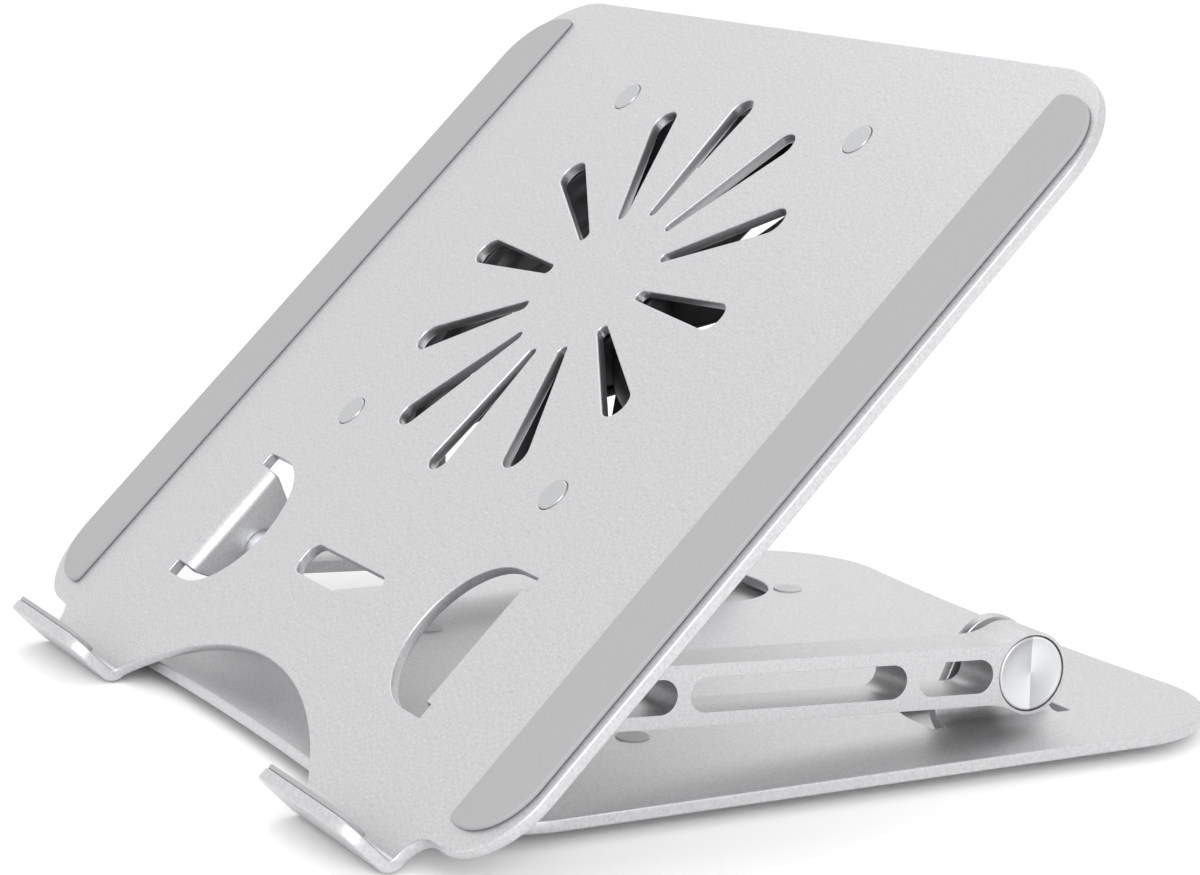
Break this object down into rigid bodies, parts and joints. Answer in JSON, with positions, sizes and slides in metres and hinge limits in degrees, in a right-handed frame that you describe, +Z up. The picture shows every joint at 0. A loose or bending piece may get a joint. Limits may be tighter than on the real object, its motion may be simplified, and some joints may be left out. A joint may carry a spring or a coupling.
{
  "type": "laptop stand",
  "caption": "Folding aluminium laptop stand: flat base, hinged arms, and a tilting tray with front hooks, silicone pads and a cooling fan under a ring of air slots.",
  "frame": {"origin": "middle of the stand's outline seen from above, on the table under its feet, with the stand open as in use", "axes": "+X to the user's right along the hinge lines, +Y to the back, +Z up"},
  "size_m": [0.258, 0.2323, 0.1566],
  "materials": {
    "blasted_aluminium": "fine bead-blasted, silver anodised",
    "turned_aluminium": "face turned, concentric tool marks, clear anodised",
    "grey_silicone": "moulded silicone, matt grey",
    "rest_silicone": "moulded silicone, matt pale grey",
    "zinc_steel": "bright zinc plated",
    "nylon": "natural nylon",
    "black_plastic": "moulded black glass-filled plastic",
    "ferrite": "plastic-bonded ferrite, dark grey",
    "bronze": "sintered bronze, oiled",
    "circuit_board": "green solder mask on glass-epoxy board",
    "copper_winding": "enamelled copper wire"
  },
  "bodies": {
    "base": {"base_plate": "blasted_aluminium", "foot_front_left": "grey_silicone", "foot_front_right": "grey_silicone", "foot_rear_left": "grey_silicone", "foot_rear_right": "grey_silicone", "rest_pad_front_left": "rest_silicone", "rest_pad_front_right": "rest_silicone", "rest_pad_rear_left": "rest_silicone", "rest_pad_rear_right": "rest_silicone"},
    "arms": {"arm_left": "blasted_aluminium", "arm_right": "blasted_aluminium", "hinge_bolt_rear_left": "zinc_steel", "hinge_bolt_rear_right": "zinc_steel", "hinge_bolt_front_left": "zinc_steel", "hinge_bolt_front_right": "zinc_steel", "hinge_washer_rear_left": "nylon", "hinge_washer_rear_right": "nylon", "hinge_washer_front_left": "nylon", "hinge_washer_front_right": "nylon", "hinge_cap_rear_left": "turned_aluminium", "hinge_cap_rear_right": "turned_aluminium", "hinge_cap_front_left": "turned_aluminium", "hinge_cap_front_right": "turned_aluminium"},
    "tray": {"tray_plate": "blasted_aluminium", "side_pad_left": "grey_silicone", "side_pad_right": "grey_silicone", "hook_pad_left": "grey_silicone", "hook_pad_right": "grey_silicone", "fan_frame": "black_plastic", "fan_bearing_sleeve": "bronze", "fan_circuit_board": "circuit_board", "fan_stator": "copper_winding", "fan_stud_1": "turned_aluminium", "fan_stud_2": "turned_aluminium", "fan_stud_3": "turned_aluminium", "fan_stud_4": "turned_aluminium", "fan_nut_1": "zinc_steel", "fan_nut_2": "zinc_steel", "fan_nut_3": "zinc_steel", "fan_nut_4": "zinc_steel", "power_inlet": "black_plastic"},
    "rotor": {"fan_impeller": "black_plastic", "fan_shaft": "zinc_steel", "fan_magnet_ring": "ferrite"}
  },
  "joints": [
    {"name": "arm_raise", "type": "hinge", "parent": "base", "child": "arms", "pos_m": [0, 0.06128, 0.0193], "axis": [-1, 0, 0], "range_deg": [0, 40]},
    {"name": "tray_fold", "type": "hinge", "parent": "arms", "child": "tray", "pos_m": [0, -0.06054, 0.02577], "axis": [-1, 0, 0], "range_deg": [0, 42]},
    {"name": "fan_spin", "type": "hinge", "parent": "tray", "child": "rotor", "pos_m": [0, -0.0073, 0.0998], "axis": [0, -0.7071, 0.7071], "continuous": true}
  ]
}
